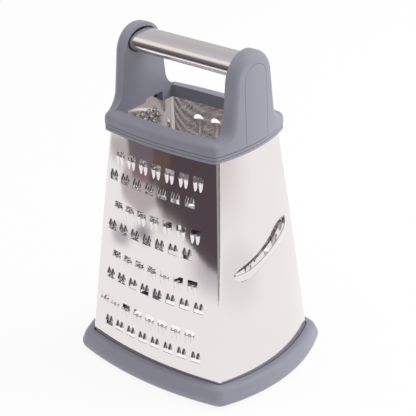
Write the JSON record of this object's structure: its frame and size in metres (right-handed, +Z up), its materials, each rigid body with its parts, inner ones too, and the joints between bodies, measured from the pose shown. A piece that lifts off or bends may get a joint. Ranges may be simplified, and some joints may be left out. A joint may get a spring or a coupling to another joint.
{
  "type": "box grater",
  "caption": "Tall box grater: bulged steel body with coarse, slicing, shredding and fine faces, plastic base ring and collar, and an oval steel carrying tube between two uprights.",
  "frame": {"origin": "Middle of the base on the worktop, under the middle of the carrying tube.", "axes": "+Z is up. The tube runs along X. The coarse face looks to -Y, the slicing face to +X, the shredding face to +Y and the fine face to -X."},
  "size_m": [0.1626, 0.1366, 0.244],
  "materials": {
    "polished_steel": "polished",
    "slate_plastic": "satin",
    "satin_tube": "satin",
    "dark_plastic": "matte",
    "screw_steel": "plain"
  },
  "bodies": {
    "root": {"front_shell": "polished_steel", "rear_shell": "polished_steel", "base_ring": "slate_plastic", "lip_ring": "slate_plastic", "handle_frame": "slate_plastic", "left_end_cover": "slate_plastic", "right_end_cover": "slate_plastic", "handle_tube": "satin_tube", "left_tube_plug": "dark_plastic", "right_tube_plug": "dark_plastic", "handle_screws": "screw_steel"}
  },
  "joints": []
}
